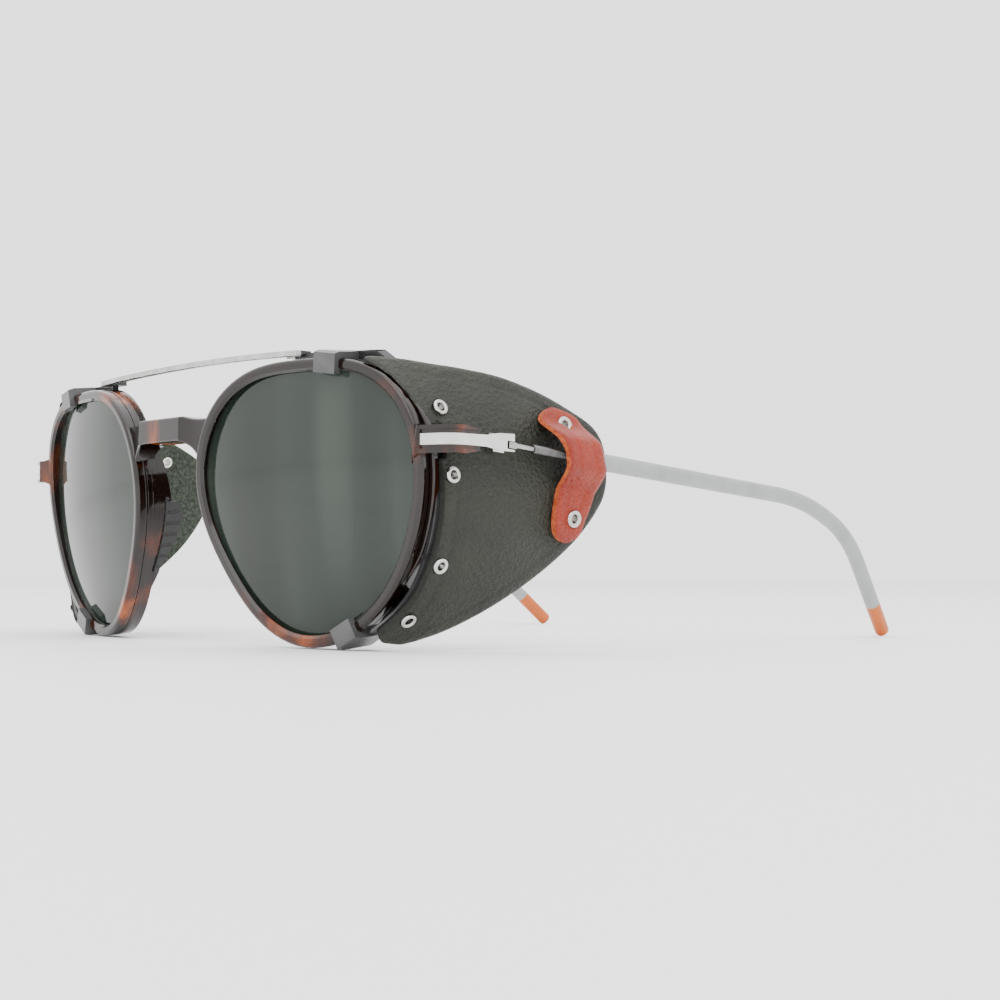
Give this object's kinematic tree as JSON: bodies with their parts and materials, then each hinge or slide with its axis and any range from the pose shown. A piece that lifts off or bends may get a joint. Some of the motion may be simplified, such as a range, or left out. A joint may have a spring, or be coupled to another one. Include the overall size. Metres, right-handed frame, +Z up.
{
  "type": "glacier glasses",
  "caption": "Round-lens glacier glasses with folding wire temples, ribbed nose pads, and leather side shields on a clip-on bridge bar.",
  "frame": {"origin": "middle of the footprint, on the table that the glasses stand on with the temples open", "axes": "+Z up; +Y to the rear along the temples, so the lenses face -Y; +X to the wearer's left"},
  "size_m": [0.1414, 0.1466, 0.0516],
  "materials": {
    "tortoise": "glossy dark tortoise acetate",
    "brushed_bar": "brushed",
    "lens": "polished, grey-green tint",
    "pad_rubber": "matte ribbed",
    "polished_plate": "mirror polished",
    "steel": "satin",
    "carrier": "dark gloss",
    "eyelet_metal": "polished",
    "clip_plastic": "satin, slightly translucent",
    "green_leather": "pebbled grain outside, suede inside",
    "coil_steel": "close-wound",
    "sleeve_silicone": "satin translucent",
    "tip_orange": "satin",
    "orange_leather": "smooth, with rough cut edges"
  },
  "bodies": {
    "front": {"front_frame": "tortoise", "bridge_bar": "brushed_bar", "lens_left": "lens", "lens_right": "lens", "nose_pad_left": "pad_rubber", "nose_pad_right": "pad_rubber", "end_plate_left": "polished_plate", "end_plate_right": "polished_plate", "hinge_screw_left": "steel", "hinge_screw_right": "steel", "shield_carrier_left": "carrier", "shield_carrier_right": "carrier", "shield_eyelets_left": "eyelet_metal", "shield_eyelets_right": "eyelet_metal", "clip_top_left": "clip_plastic", "clip_top_right": "clip_plastic", "clip_bottom_left": "clip_plastic", "clip_bottom_right": "clip_plastic", "side_shield_left": "green_leather", "side_shield_right": "green_leather"},
    "temple_left": {"temple_head_left": "steel", "temple_wire_left": "steel", "temple_coil_left": "coil_steel", "temple_sleeve_left": "sleeve_silicone", "temple_tip_left": "tip_orange", "strap_left": "orange_leather", "strap_eyelets_left": "eyelet_metal"},
    "temple_right": {"temple_head_right": "steel", "temple_wire_right": "steel", "temple_coil_right": "coil_steel", "temple_sleeve_right": "sleeve_silicone", "temple_tip_right": "tip_orange", "strap_right": "orange_leather", "strap_eyelets_right": "eyelet_metal"}
  },
  "joints": [
    {"name": "temple_left_fold", "type": "hinge", "parent": "front", "child": "temple_left", "pos_m": [0.0665, -0.05095, 0.03385], "axis": [0, 0.0802, 0.9968], "range_deg": [0, 75], "deforming": ["side_shield_left"]},
    {"name": "temple_right_fold", "type": "hinge", "parent": "front", "child": "temple_right", "pos_m": [-0.0665, -0.05095, 0.03385], "axis": [0, -0.0802, -0.9968], "range_deg": [0, 50], "deforming": ["side_shield_right"]}
  ]
}
